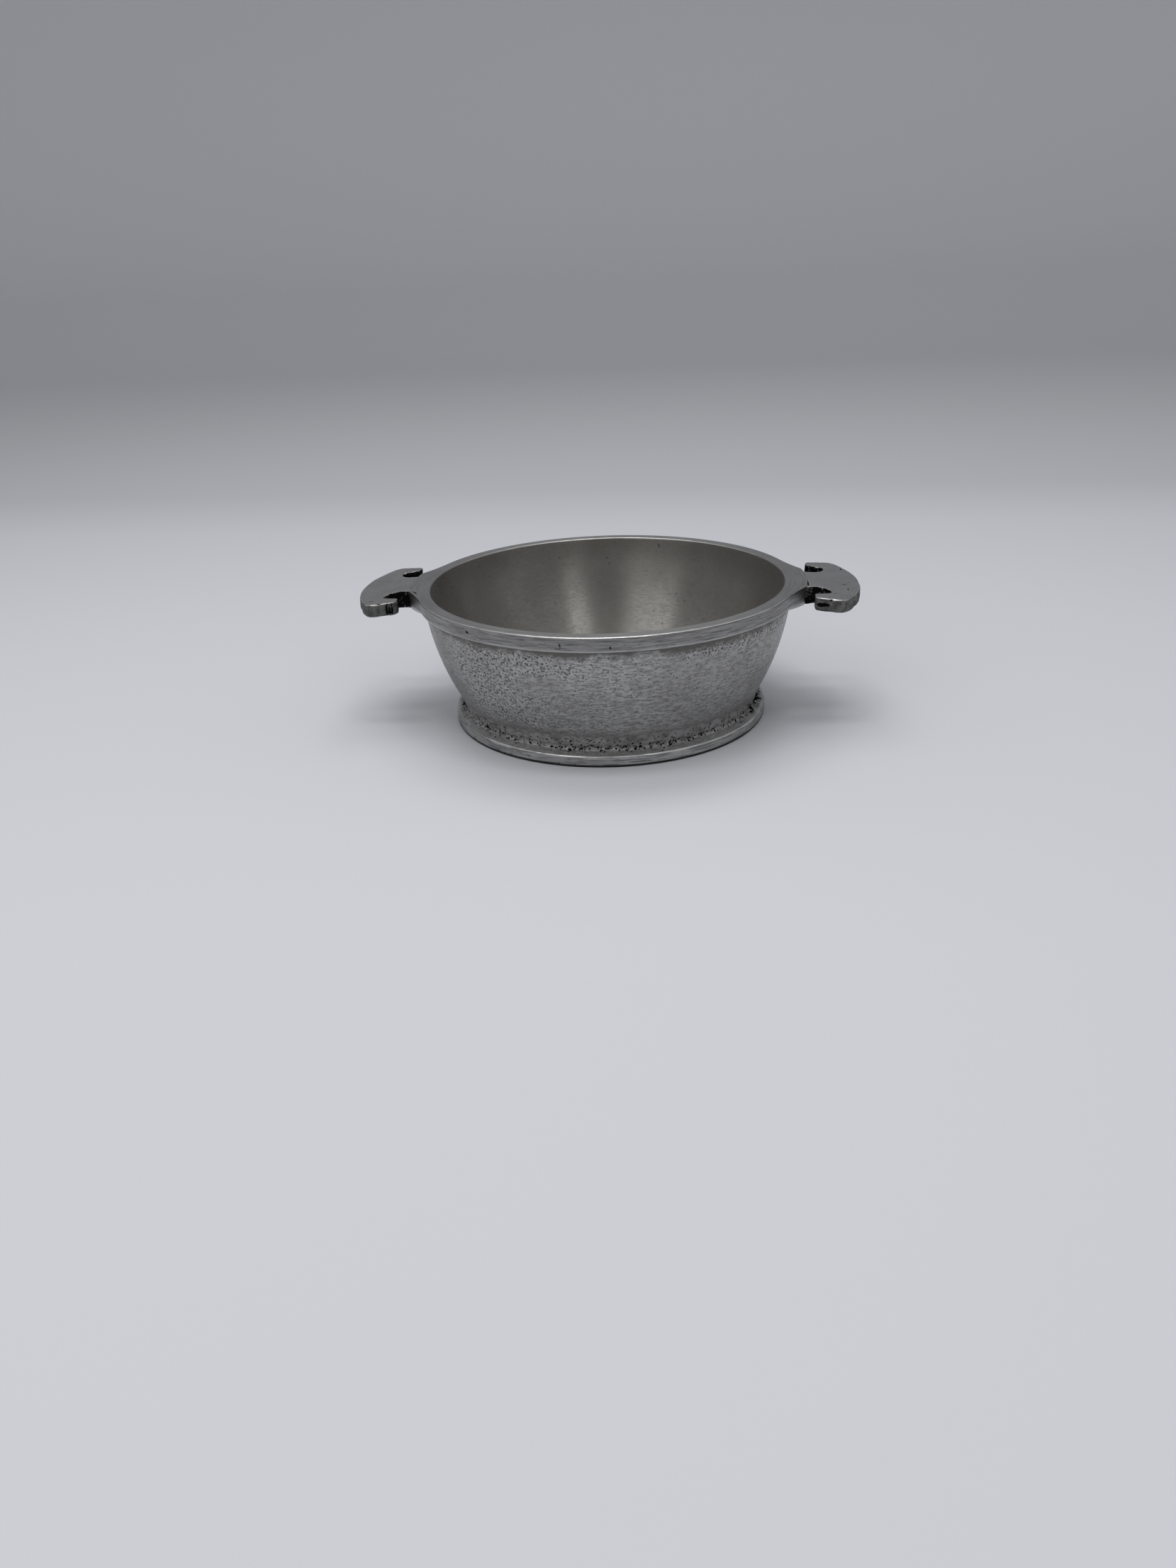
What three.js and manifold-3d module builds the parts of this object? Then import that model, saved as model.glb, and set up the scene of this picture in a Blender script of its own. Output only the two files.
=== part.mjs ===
// A small round cast-aluminium cooking pot: a hammered bowl with a turned rim band, a flared
// foot ring and two flat handles, each a crescent on a short neck. Millimetres, +Z up, with the
// origin on the pot's axis at the plane that it stands on. The handles lie along +X and -X.
import * as THREE from "three";
import { mergeVertices } from "three/addons/utils/BufferGeometryUtils.js";
import Module from "manifold-3d";

// Driving dimensions of the bowl and its mouth
const POT_HEIGHT = 59; // standing plane to the rim's top face
const MOUTH_RADIUS = 76.7; // inside of the rim
const WALL_THICKNESS = 2.8; // across the top of the wall
const WALL_BASE_RADIUS = 59.8; // outside of the bowl at its underside
const WALL_BULGE = 3.6; // how far the wall's curve stands out from a straight line
const FLOOR_THICKNESS = 5.5;
const FLOOR_CORNER_RADIUS = 9; // inside, between the floor and the wall
const BASE_RECESS = 1.2; // the bowl's underside stays this far above the standing plane

// Driving dimensions of the rim band
const RIM_WIDTH = 5.8; // across the rim's flat top face
const BAND_HEIGHT = 6.3;
const BAND_DRAFT = 0.8; // the band is this much narrower at its lower edge
const RIM_EDGE_ROUND = 0.7;

// Driving dimensions of the foot ring
const FOOT_WIDTH = 9.6; // the ring stands this far out from the bowl's underside
const FOOT_EDGE_HEIGHT = 4.7; // height of the ring's upright edge
const FOOT_TOP_RISE = 1; // the ring's upper face climbs this much on its way to the wall
const FOOT_COVE_RADIUS = 1.3; // hollow between the ring's upper face and its collar
const FOOT_COLLAR = 0.7; // thickness of the collar that climbs from the ring onto the wall
const FOOT_COLLAR_TOP = 12.4; // standing plane to the collar's upper edge
const FOOT_EDGE_ROUND = 0.6;

// Driving dimensions of the handles and of the lugs on the band that carry them
const LUG_REACH = 3; // the lugs stand this far out from the rim
const FLARE_RADIUS = 90; // hollow curve from the rim to each side of a lug
const NECK_WIDTH = 24; // narrowest place between a handle's two scallops
const SCALLOP_RADIUS = 6.1;
const SCALLOP_OFFSET = 6; // rim to the scallop's centre
const HANDLE_REACH = 25.9; // rim to the handle's outermost point
const HANDLE_ARC_RADIUS = 56; // the handle's outer edge
const HANDLE_SPAN = 61.6; // across the corners of the two prongs
const PRONG_TIP_GAP = 5; // rim to the prongs' ends
const PRONG_TIP_WIDTH = 6; // flat end of each prong
const NOTCH_WIDTH = 8; // neck to the prong's inner edge, at the notch's inner end
const PRONG_SPLAY = 2.4; // the notch is this much wider at the prong's end
const PRONG_CORNER_ROUND = 1.6;
const SHOULDER_ROUND = 5; // outer corner of each prong
const HANDLE_ROOT_THICKNESS = 7.7; // at the neck
const HANDLE_EDGE_THICKNESS = 5.6; // at the outer edge and the prongs
const HANDLE_DROP = 0.9; // the handles' top faces start this far below the rim's
const HANDLE_DROOP = 1.7; // and fall this much further to the outermost point
const HANDLE_EDGE_ROUND = 0.9;

// Fit and fineness
const JOINT_GAP = 0.3; // hairline joint between two pieces
const SEGMENTS = 80; // facets round the pot's axis
const MERGE_TOLERANCE = 1e-4;

// Heights and radii that follow from the driving dimensions
const rimRadius = MOUTH_RADIUS + RIM_WIDTH;
const bandBottom = POT_HEIGHT - BAND_HEIGHT;
const bandBottomRadius = rimRadius - BAND_DRAFT;
const wallTopRadius = MOUTH_RADIUS + WALL_THICKNESS;
const floorHeight = BASE_RECESS + FLOOR_THICKNESS;
const footRadius = WALL_BASE_RADIUS + FOOT_WIDTH;
const lugRadius = rimRadius + LUG_REACH;

const point = (x, y) => new THREE.Vector2(x, y);

// Points of an arc from one angle to another, both in radians.
function arc(centre, radius, from, to, steps) {
  return Array.from({ length: steps + 1 }, (_, i) => {
    const angle = from + ((to - from) * i) / steps;
    return point(centre.x + radius * Math.cos(angle), centre.y + radius * Math.sin(angle));
  });
}

// Points of a rounded corner between two straight edges.
function roundedCorner(before, corner, after, radius, steps) {
  const towardsBefore = before.clone().sub(corner).normalize();
  const towardsAfter = after.clone().sub(corner).normalize();
  const halfAngle = Math.acos(towardsBefore.dot(towardsAfter)) / 2;
  const bisector = towardsBefore.clone().add(towardsAfter).normalize();
  const centre = corner.clone().addScaledVector(bisector, radius / Math.sin(halfAngle));
  const trim = radius / Math.tan(halfAngle);
  const first = corner.clone().addScaledVector(towardsBefore, trim).sub(centre);
  const last = corner.clone().addScaledVector(towardsAfter, trim).sub(centre);
  const turn = Math.atan2(first.cross(last), first.dot(last));
  return arc(centre, radius, first.angle(), first.angle() + turn, steps);
}

// Centre and radius of the arc between two points that stands out from their chord by a bulge.
function arcThrough(lower, upper, bulge) {
  const chord = upper.clone().sub(lower);
  const radius = chord.lengthSq() / (8 * bulge) + bulge / 2;
  const outwards = point(chord.y, -chord.x).normalize();
  const middle = lower.clone().add(upper).multiplyScalar(0.5);
  return { centre: middle.addScaledVector(outwards, bulge - radius), radius };
}

// Angle of a point on the upper or lower half of an arc about its centre.
const angleAtHeight = (centre, radius, height) => Math.asin((height - centre.y) / radius);

// A solid of revolution from a closed outline of radius and height.
function turned(outline) {
  const closed = outline[0].x > 0 ? [...outline, outline[0]] : outline;
  return new THREE.LatheGeometry(closed, SEGMENTS).rotateX(Math.PI / 2);
}

// A plate from an outline, with rounded edges. Functions of the place give the height of its top
// face and its thickness there, which the full thickness is drawn up to.
function plate(outline, thickness, edgeRound, topAt, thicknessAt) {
  const geometry = new THREE.ExtrudeGeometry(new THREE.Shape(outline), {
    depth: thickness - 2 * edgeRound,
    bevelThickness: edgeRound,
    bevelSize: edgeRound,
    bevelOffset: -edgeRound,
    bevelSegments: 2,
  });
  geometry.translate(0, 0, edgeRound - thickness);
  const position = geometry.getAttribute("position");
  for (let i = 0; i < position.count; i += 1) {
    const [x, y] = [position.getX(i), position.getY(i)];
    position.setZ(i, topAt(x) + (position.getZ(i) * thicknessAt(x, y)) / thickness);
  }
  return geometry;
}

// Joins and cuts of closed meshes
const wasm = await Module();
wasm.setup();

function solidFrom(geometry) {
  const bare = geometry.index ? geometry.toNonIndexed() : geometry.clone();
  bare.deleteAttribute("normal");
  bare.deleteAttribute("uv");
  const merged = mergeVertices(bare, MERGE_TOLERANCE);
  const vertProperties = merged.getAttribute("position").array;
  const triVerts = new Uint32Array(merged.index.array);
  return new wasm.Manifold(new wasm.Mesh({ numProp: 3, vertProperties, triVerts }));
}

function geometryFrom(solid) {
  const mesh = solid.getMesh();
  return new THREE.BufferGeometry()
    .setAttribute("position", new THREE.BufferAttribute(mesh.vertProperties, 3))
    .setIndex(new THREE.BufferAttribute(mesh.triVerts, 1));
}

// A solid cylinder on the pot's axis, taller than the pot.
function axialCylinder(radius) {
  return turned([
    point(0, -POT_HEIGHT),
    point(radius, -POT_HEIGHT),
    point(radius, 2 * POT_HEIGHT),
    point(0, 2 * POT_HEIGHT),
  ]);
}

// The wall's outer curve runs from the bowl's underside to the rim band.
const wallCurve = arcThrough(
  point(WALL_BASE_RADIUS, BASE_RECESS),
  point(wallTopRadius, bandBottom),
  WALL_BULGE,
);

// The bowl: a thick floor, a rounded inner corner and a curved wall that ends under the band.
function bowlGeometry() {
  const { centre, radius } = wallCurve;
  const innerRadius = centre.distanceTo(point(MOUTH_RADIUS, bandBottom));
  const cornerHeight = floorHeight + FLOOR_CORNER_RADIUS;
  const cornerReach = innerRadius - FLOOR_CORNER_RADIUS;
  const cornerAngle = angleAtHeight(centre, cornerReach, cornerHeight);
  const corner = point(centre.x + cornerReach * Math.cos(cornerAngle), cornerHeight);
  const wallSteps = 8;
  const cornerSteps = 4;
  return turned([
    point(0, BASE_RECESS),
    ...arc(
      centre,
      radius,
      angleAtHeight(centre, radius, BASE_RECESS),
      angleAtHeight(centre, radius, bandBottom),
      wallSteps,
    ),
    ...arc(centre, innerRadius, angleAtHeight(centre, innerRadius, bandBottom), cornerAngle, wallSteps),
    ...arc(corner, FLOOR_CORNER_RADIUS, cornerAngle, -Math.PI / 2, cornerSteps).slice(1),
    point(0, floorHeight),
  ]);
}

// The rim band: a tapered ring that sits on the wall's top face and stands proud of the wall.
function bandRing() {
  const innerBottom = point(MOUTH_RADIUS, bandBottom);
  const outerBottom = point(bandBottomRadius, bandBottom);
  const outerTop = point(rimRadius, POT_HEIGHT);
  const innerTop = point(MOUTH_RADIUS, POT_HEIGHT);
  const steps = 2;
  return turned([
    innerBottom,
    ...roundedCorner(innerBottom, outerBottom, outerTop, RIM_EDGE_ROUND, steps),
    ...roundedCorner(outerBottom, outerTop, innerTop, RIM_EDGE_ROUND, steps),
    ...roundedCorner(outerTop, innerTop, innerBottom, RIM_EDGE_ROUND, steps),
  ]);
}

// A point where the scallop beside a handle's neck passes a given distance from the pot's axis.
const scallopCentre = point(rimRadius + SCALLOP_OFFSET, NECK_WIDTH / 2 + SCALLOP_RADIUS);
function scallopAngleAtRadius(axisDistance) {
  const toCentre = scallopCentre.length();
  const cosine =
    (toCentre ** 2 + SCALLOP_RADIUS ** 2 - axisDistance ** 2) / (2 * toCentre * SCALLOP_RADIUS);
  return scallopCentre.angle() + Math.PI + Math.acos(cosine);
}

// A lug: the rim flares out through a hollow curve on both sides to carry a handle's neck, and
// deepens from the band's height to the underside of the neck.
function lugPlate() {
  const cornerAngle = scallopAngleAtRadius(lugRadius);
  const corner = point(
    scallopCentre.x + SCALLOP_RADIUS * Math.cos(cornerAngle),
    scallopCentre.y + SCALLOP_RADIUS * Math.sin(cornerAngle),
  );
  const flareReach = bandBottomRadius + FLARE_RADIUS;
  const cosine = (flareReach ** 2 + lugRadius ** 2 - FLARE_RADIUS ** 2) / (2 * flareReach * lugRadius);
  const touchAngle = corner.angle() + Math.acos(cosine);
  const flareCentre = point(flareReach * Math.cos(touchAngle), flareReach * Math.sin(touchAngle));
  const cornerDirection = corner.clone().sub(flareCentre).angle();
  const flareSteps = 8;
  const endSteps = 8;
  const rootSteps = 8;
  const rootRadius = wallTopRadius + JOINT_GAP;
  const fullDepth = HANDLE_DROP + HANDLE_ROOT_THICKNESS;
  const flare = arc(flareCentre, FLARE_RADIUS, cornerDirection, touchAngle + Math.PI, flareSteps);
  const mirrored = flare.map((p) => point(p.x, -p.y));
  const origin = point(0, 0);
  const outline = [
    ...arc(origin, lugRadius, -corner.angle(), corner.angle(), endSteps),
    ...flare.slice(1),
    ...arc(origin, rootRadius, touchAngle, -touchAngle, rootSteps),
    ...mirrored.reverse().slice(0, -1),
  ];
  const depthAt = (x, y) => {
    const angle = Math.abs(Math.atan2(y, x));
    const fade = THREE.MathUtils.smoothstep(angle, corner.angle(), touchAngle);
    return THREE.MathUtils.lerp(fullDepth, BAND_HEIGHT, fade);
  };
  return plate(outline, fullDepth, RIM_EDGE_ROUND, () => POT_HEIGHT, depthAt);
}

function rimBandGeometry() {
  const lug = solidFrom(lugPlate());
  const oppositeLug = solidFrom(lugPlate().rotateZ(Math.PI));
  return geometryFrom(solidFrom(bandRing()).add(lug).add(oppositeLug));
}

// The foot ring: a flange with an upright edge and a sloping upper face, whose thin collar climbs
// the bowl that it holds.
function footRingGeometry() {
  const { centre, radius } = wallCurve;
  const seatRadius = radius + JOINT_GAP;
  const topHeight = FOOT_EDGE_HEIGHT + FOOT_TOP_RISE;
  const collarRadius = seatRadius + FOOT_COLLAR;
  const coveReach = collarRadius + FOOT_COVE_RADIUS;
  const coveAngle = angleAtHeight(centre, coveReach, topHeight + FOOT_COVE_RADIUS);
  const coveCentre = point(
    centre.x + coveReach * Math.cos(coveAngle),
    centre.y + coveReach * Math.sin(coveAngle),
  );
  const collarAngle = angleAtHeight(centre, seatRadius, FOOT_COLLAR_TOP);
  const bottomAngle = angleAtHeight(centre, seatRadius, 0);
  const innerBottom = point(centre.x + seatRadius * Math.cos(bottomAngle), 0);
  const outerBottom = point(footRadius, 0);
  const outerTop = point(footRadius, FOOT_EDGE_HEIGHT);
  const coveStart = point(coveCentre.x, topHeight);
  const roundSteps = 2;
  const coveSteps = 4;
  const collarSteps = 2;
  const seatSteps = 4;
  return turned([
    ...roundedCorner(innerBottom, outerBottom, outerTop, FOOT_EDGE_ROUND, roundSteps),
    ...roundedCorner(outerBottom, outerTop, coveStart, FOOT_EDGE_ROUND, roundSteps),
    ...arc(coveCentre, FOOT_COVE_RADIUS, -Math.PI / 2, coveAngle - Math.PI, coveSteps),
    ...arc(centre, collarRadius, coveAngle, collarAngle, collarSteps).slice(1),
    ...arc(centre, seatRadius, collarAngle, bottomAngle, seatSteps),
  ]);
}

// Half of a handle's outline, from inside its lug round the scallop and the prong to its outer edge.
function handleHalfOutline() {
  const scallopStart = scallopAngleAtRadius(lugRadius) - 2 * Math.PI;
  const notchEndHeight = NECK_WIDTH / 2 + NOTCH_WIDTH;
  const scallopEnd = angleAtHeight(scallopCentre, SCALLOP_RADIUS, notchEndHeight);
  const scallop = arc(scallopCentre, SCALLOP_RADIUS, scallopStart, scallopEnd, 12);
  const notchEnd = scallop.pop();
  const neckSide = scallop[0];
  const tipX = rimRadius + PRONG_TIP_GAP;
  const tipInner = point(tipX, notchEnd.y + PRONG_SPLAY);
  const tipOuter = point(tipX, tipInner.y + PRONG_TIP_WIDTH);
  const arcCentre = point(rimRadius + HANDLE_REACH - HANDLE_ARC_RADIUS, 0);
  const spanAngle = Math.asin(HANDLE_SPAN / 2 / HANDLE_ARC_RADIUS);
  const outerEdge = arc(arcCentre, HANDLE_ARC_RADIUS, spanAngle, 0, 9);
  return [
    point(neckSide.x - LUG_REACH, neckSide.y),
    ...scallop,
    ...roundedCorner(scallop.at(-1), notchEnd, tipInner, PRONG_CORNER_ROUND, 2),
    ...roundedCorner(notchEnd, tipInner, tipOuter, PRONG_CORNER_ROUND, 3),
    ...roundedCorner(tipInner, tipOuter, outerEdge[0], PRONG_CORNER_ROUND, 3),
    ...roundedCorner(tipOuter, outerEdge[0], outerEdge[1], SHOULDER_ROUND, 4),
    ...outerEdge.slice(2),
  ];
}

// A handle: a flat crescent on a neck, cut to seat against the end of its lug. It slopes down
// outwards, and thins from the neck to its outer edge and its prongs.
function handleGeometry() {
  const half = handleHalfOutline();
  const mirrored = half.slice(0, -1).map((p) => point(p.x, -p.y));
  const outline = [...half, ...mirrored.reverse()];
  const outwards = (x) => Math.max(0, (x - lugRadius) / (HANDLE_REACH - LUG_REACH));
  const sideways = (y) => Math.max(0, (2 * Math.abs(y) - NECK_WIDTH) / (HANDLE_SPAN - NECK_WIDTH));
  const topAt = (x) => POT_HEIGHT - HANDLE_DROP - HANDLE_DROOP * outwards(x);
  const thicknessAt = (x, y) => {
    const share = Math.min(1, Math.hypot(outwards(x), sideways(y)));
    return THREE.MathUtils.lerp(HANDLE_ROOT_THICKNESS, HANDLE_EDGE_THICKNESS, share);
  };
  const blank = plate(outline, HANDLE_ROOT_THICKNESS, HANDLE_EDGE_ROUND, topAt, thicknessAt);
  return geometryFrom(solidFrom(blank).subtract(solidFrom(axialCylinder(lugRadius + JOINT_GAP))));
}

// Materials
const hammered = new THREE.MeshStandardMaterial({ color: 0x8b8b8c, roughness: 0.5, metalness: 1 });
const turnedFinish = new THREE.MeshStandardMaterial({ color: 0x98989a, roughness: 0.35, metalness: 1 });
const asCast = new THREE.MeshStandardMaterial({ color: 0x7d7d7d, roughness: 0.55, metalness: 1 });

function piece(name, geometry, material) {
  const mesh = new THREE.Mesh(geometry, material);
  mesh.name = name;
  return mesh;
}

const pot = new THREE.Group();
pot.add(piece("bowl", bowlGeometry(), hammered));
pot.add(piece("rim_band", rimBandGeometry(), turnedFinish));
pot.add(piece("foot_ring", footRingGeometry(), asCast));

// Both handles are one design, set on opposite sides of the pot.
const handleAngles = { right_handle: 0, left_handle: Math.PI };
for (const [name, angle] of Object.entries(handleAngles)) {
  const handle = piece(name, handleGeometry(), asCast);
  handle.rotation.z = angle;
  pot.add(handle);
}

export default pot;
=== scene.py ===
"""The looks of a small hammered cast-aluminium cooking pot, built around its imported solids."""
from math import acos, asin, atan2, cos, pi, radians, sin, tan

import bmesh
import bpy
import numpy as np
from mathutils import Matrix, Vector
from numpy.linalg import norm


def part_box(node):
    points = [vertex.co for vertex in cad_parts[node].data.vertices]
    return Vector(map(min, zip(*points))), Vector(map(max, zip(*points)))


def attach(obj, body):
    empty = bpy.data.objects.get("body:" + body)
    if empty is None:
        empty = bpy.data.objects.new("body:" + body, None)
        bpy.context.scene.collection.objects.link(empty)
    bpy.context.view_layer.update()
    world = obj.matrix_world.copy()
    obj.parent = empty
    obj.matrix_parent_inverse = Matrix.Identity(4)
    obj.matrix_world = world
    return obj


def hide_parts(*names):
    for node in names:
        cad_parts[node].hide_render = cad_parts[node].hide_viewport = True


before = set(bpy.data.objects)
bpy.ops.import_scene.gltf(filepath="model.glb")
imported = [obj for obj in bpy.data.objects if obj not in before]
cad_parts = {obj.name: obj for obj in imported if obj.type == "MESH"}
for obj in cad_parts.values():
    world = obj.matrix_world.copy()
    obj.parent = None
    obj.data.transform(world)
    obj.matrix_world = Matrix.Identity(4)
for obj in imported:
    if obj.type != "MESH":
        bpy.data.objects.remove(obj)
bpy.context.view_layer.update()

# Sizes in millimetres, as the solids have them
MM = 0.001
POT_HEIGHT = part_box("rim_band")[1].z / MM
BAND_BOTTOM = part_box("bowl")[1].z / MM
WALL_TOP_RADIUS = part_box("bowl")[1].x / MM
BASE_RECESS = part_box("bowl")[0].z / MM
FOOT_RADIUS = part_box("foot_ring")[1].x / MM
FOOT_COLLAR_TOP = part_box("foot_ring")[1].z / MM
LUG_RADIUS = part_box("rim_band")[1].x / MM
HANDLE_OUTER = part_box("right_handle")[1].x / MM
MOUTH_RADIUS = 76.7
RIM_RADIUS = 82.5
BAND_DRAFT = 0.8
BAND_BASE_RADIUS = RIM_RADIUS - BAND_DRAFT
WALL_BASE_RADIUS = 59.8
WALL_BULGE = 3.6
FLOOR_THICKNESS = 5.5
FLOOR_CORNER_RADIUS = 9.0
FOOT_EDGE_HEIGHT = 4.7
FOOT_TOP_RISE = 1.0
FOOT_COVE_RADIUS = 1.3
FLARE_RADIUS = 90.0
NECK_WIDTH = 24.0
SCALLOP_RADIUS = 6.1
SCALLOP_OFFSET = 6.0
NOTCH_WIDTH = 8.0
HANDLE_ARC_RADIUS = 56.0
HANDLE_SPAN = 61.6
PRONG_TIP_GAP = 5.0
PRONG_TIP_WIDTH = 6.0
PRONG_SPLAY = 2.4
SHOULDER_ROUND = 5.0
HANDLE_ROOT_THICKNESS = 7.7
HANDLE_EDGE_THICKNESS = 5.6
HANDLE_DROP = 0.9
HANDLE_DROOP = 1.7
SCALLOP = np.array([RIM_RADIUS + SCALLOP_OFFSET, NECK_WIDTH / 2 + SCALLOP_RADIUS])

# Sizes of the looks alone: the foot's collar, which tapers away from this thickness up the wall,
# and the lining, which is the bowl's turned inside where it runs up behind the band
FOOT_COLLAR = 1.0
LINING_THICKNESS = 0.42
LINING_DROP = 0.8
LINING_RADIUS = MOUTH_RADIUS + LINING_THICKNESS
LINING_TOP = POT_HEIGHT - LINING_DROP

# Fineness of the meshes: columns round the axis, and steps along a profile in millimetres
FINE_COLUMNS = 1600
RIM_COLUMNS = 1280
COARSE_COLUMNS = FINE_COLUMNS // 4
FINE_STEP = 0.32
MEDIUM_STEP = 0.8
COARSE_STEP = 2.0
HANDLE_VOXEL = 0.34

random = np.random.default_rng(7)


# Noise and soft steps

def lattice_values(cell, seed):
    """A repeatable value from 0 to 1 for each whole-numbered place."""
    largest = 0xFFFFFFFF
    factors = np.array([374761393, 668265263, 2246822519], np.uint32)
    mixed = (cell.astype(np.uint32) * factors).sum(-1, dtype=np.uint32)
    mixed = mixed + np.uint32(seed * 974634777 & largest)
    mixed = (mixed ^ (mixed >> 13)) * np.uint32(1274126177)
    return (mixed ^ (mixed >> 16)) / largest


def smooth_noise(points, seed):
    """Soft noise from -1 to 1 with features about one unit across."""
    low = np.floor(points)
    share = smoothstep(0, 1, points - low)
    cell = low.astype(np.int64)
    total = np.zeros(points.shape[:-1])
    for corner in np.ndindex(2, 2, 2):
        weight = np.prod(np.where(np.array(corner) == 1, share, 1 - share), axis=-1)
        total += weight * lattice_values(cell + np.array(corner), seed)
    return total * 2 - 1


def layered_noise(points, seed, layers=2):
    """Noise with finer layers added, each half as strong as the last."""
    total = np.zeros(points.shape[:-1])
    for layer in range(layers):
        total += smooth_noise(points * 2.0**layer, seed + layer) * 0.5**layer
    return total


def unit(value):
    """A value held between 0 and 1."""
    return np.clip(value, 0, 1)


def smoothstep(low, high, value):
    """0 at low and 1 at high, with a soft rise between them, or a fall where low is above high."""
    t = unit((value - low) / (high - low))
    return t * t * (3 - 2 * t)


def between(start, full, fade, end, value):
    """1 from full to fade, going softly to 0 at start and at end."""
    return smoothstep(start, full, value) * smoothstep(end, fade, value)


def bell(middle, width, value):
    """1 at the middle, fading on both sides."""
    return np.exp(-(((value - middle) / width) ** 2))


# Profiles of radius and height

def on_circle(centre, radius, angles):
    return np.stack([centre[0] + radius * np.cos(angles), centre[1] + radius * np.sin(angles)], -1)


def arc(centre, radius, start, end, step):
    count = max(2, int(abs(end - start) * radius / step))
    return on_circle(centre, radius, np.linspace(start, end, count + 1))


def line(start, end, step):
    start, end = np.array([start, end], float)
    count = max(1, int(norm(end - start) / step))
    return np.linspace(start, end, count + 1)


def joined(*stretches):
    """One run of points from several, without the points that repeat at the joins."""
    points = np.concatenate(stretches)
    keep = np.ones(len(points), bool)
    keep[1:] = norm(np.diff(points, axis=0), axis=1) > 1e-6
    return points[keep]


def rounded(before, corner, after, radius, steps=5):
    """A rounded corner between two straight edges of a profile."""
    before, corner, after = np.array([before, corner, after], float)
    a = (before - corner) / norm(before - corner)
    b = (after - corner) / norm(after - corner)
    half = acos(np.clip(a @ b, -1, 1)) / 2
    middle = (a + b) / norm(a + b)
    centre = corner + middle * radius / sin(half)
    first = corner + a * radius / tan(half) - centre
    last = corner + b * radius / tan(half) - centre
    turn = atan2(first[0] * last[1] - first[1] * last[0], first @ last)
    angle = atan2(first[1], first[0]) + np.linspace(0, turn, steps + 1)
    return on_circle(centre, radius, angle)


def profile_normals(profile):
    """Normals to the right of a closed profile's direction."""
    tangent = np.roll(profile, -1, 0) - np.roll(profile, 1, 0)
    tangent /= norm(tangent, axis=1)[:, None] + 1e-12
    return np.stack([tangent[:, 1], -tangent[:, 0]], 1)


def wall_curve():
    """Centre and radius of the arc that the outside of the wall follows."""
    lower = np.array([WALL_BASE_RADIUS, BASE_RECESS])
    upper = np.array([WALL_TOP_RADIUS, BAND_BOTTOM])
    chord = upper - lower
    radius = chord @ chord / (8 * WALL_BULGE) + WALL_BULGE / 2
    outwards = np.array([chord[1], -chord[0]]) / norm(chord)
    return (lower + upper) / 2 + outwards * (WALL_BULGE - radius), radius


WALL_CENTRE, WALL_RADIUS = wall_curve()
INNER_RADIUS = float(norm(np.array([MOUTH_RADIUS, BAND_BOTTOM]) - WALL_CENTRE))


def wall_angle(radius, height):
    """The angle at which an arc about the wall's centre passes a height."""
    return asin((height - WALL_CENTRE[1]) / radius)


def on_wall(offset, angle):
    """A point this far outside the wall's curve."""
    return on_circle(WALL_CENTRE, WALL_RADIUS + offset, angle)


def inner_wall_radius(height):
    """Inside of the wall, which eases into an upright face towards the mouth."""
    ease = 0.3
    curve = WALL_CENTRE[0] + np.sqrt(INNER_RADIUS**2 - (height - WALL_CENTRE[1]) ** 2)
    return -ease * np.log(np.exp(-(curve - MOUTH_RADIUS) / ease) + 1) + MOUTH_RADIUS


# Turned surfaces and their marks

def turn_angles(columns):
    return np.linspace(-pi, pi, columns, endpoint=False)


def around(radius, angles, height):
    """Points at a radius and a height, at each turn angle."""
    axes = np.broadcast_arrays(radius * np.cos(angles), radius * np.sin(angles), height)
    return np.stack(axes, -1)


def turned_ring(point, normal, angles, outwards):
    """One ring of a turned surface, moved out along its profile's normal."""
    return around(point[0] + normal[0] * outwards, angles, point[1] + normal[1] * outwards)


class Field:
    """Marks pressed into a turned surface: a grid of depths over the profile and the turn angle."""

    def __init__(self, angles, profile):
        steps = norm(np.diff(profile, axis=0), axis=1)
        self.angles = angles
        self.lengths = np.concatenate([[0], np.cumsum(steps)])
        self.radii = profile[:, 0]
        self.depth = np.zeros((len(profile), len(angles)))

    def stamp(self, angle, length, half_width, half_height, tilt, depth):
        """Presses one soft oval mark. Sizes are in millimetres on the surface."""
        steepness = 1.6
        reach = max(half_width, half_height)
        rows = np.nonzero(np.abs(self.lengths - length) <= reach)[0]
        if not len(rows):
            return
        radius = max(self.radii[rows[0]], 1.0)
        step = self.angles[1] - self.angles[0]
        span = int(reach / radius / step) + 1
        middle = int(round((angle - self.angles[0]) / step))
        columns = np.arange(middle - span, middle + span + 1)
        across = (columns * step + self.angles[0] - angle) * radius
        dx, dy = np.meshgrid(across, self.lengths[rows] - length)
        u = dx * cos(tilt) + dy * sin(tilt)
        v = dy * cos(tilt) - dx * sin(tilt)
        oval = (u / half_width) ** 2 + (v / half_height) ** 2
        place = np.ix_(rows, columns % len(self.angles))
        self.depth[place] = np.maximum(self.depth[place], depth * unit(steepness * (1 - oval)))

    def strew(self, length, half_width, half_height, shallow, deep):
        """Presses one level mark of any depth between two, anywhere round the turn."""
        angle = random.uniform(-pi, pi)
        self.stamp(angle, length, half_width, half_height, 0.0, random.uniform(shallow, deep))


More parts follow.
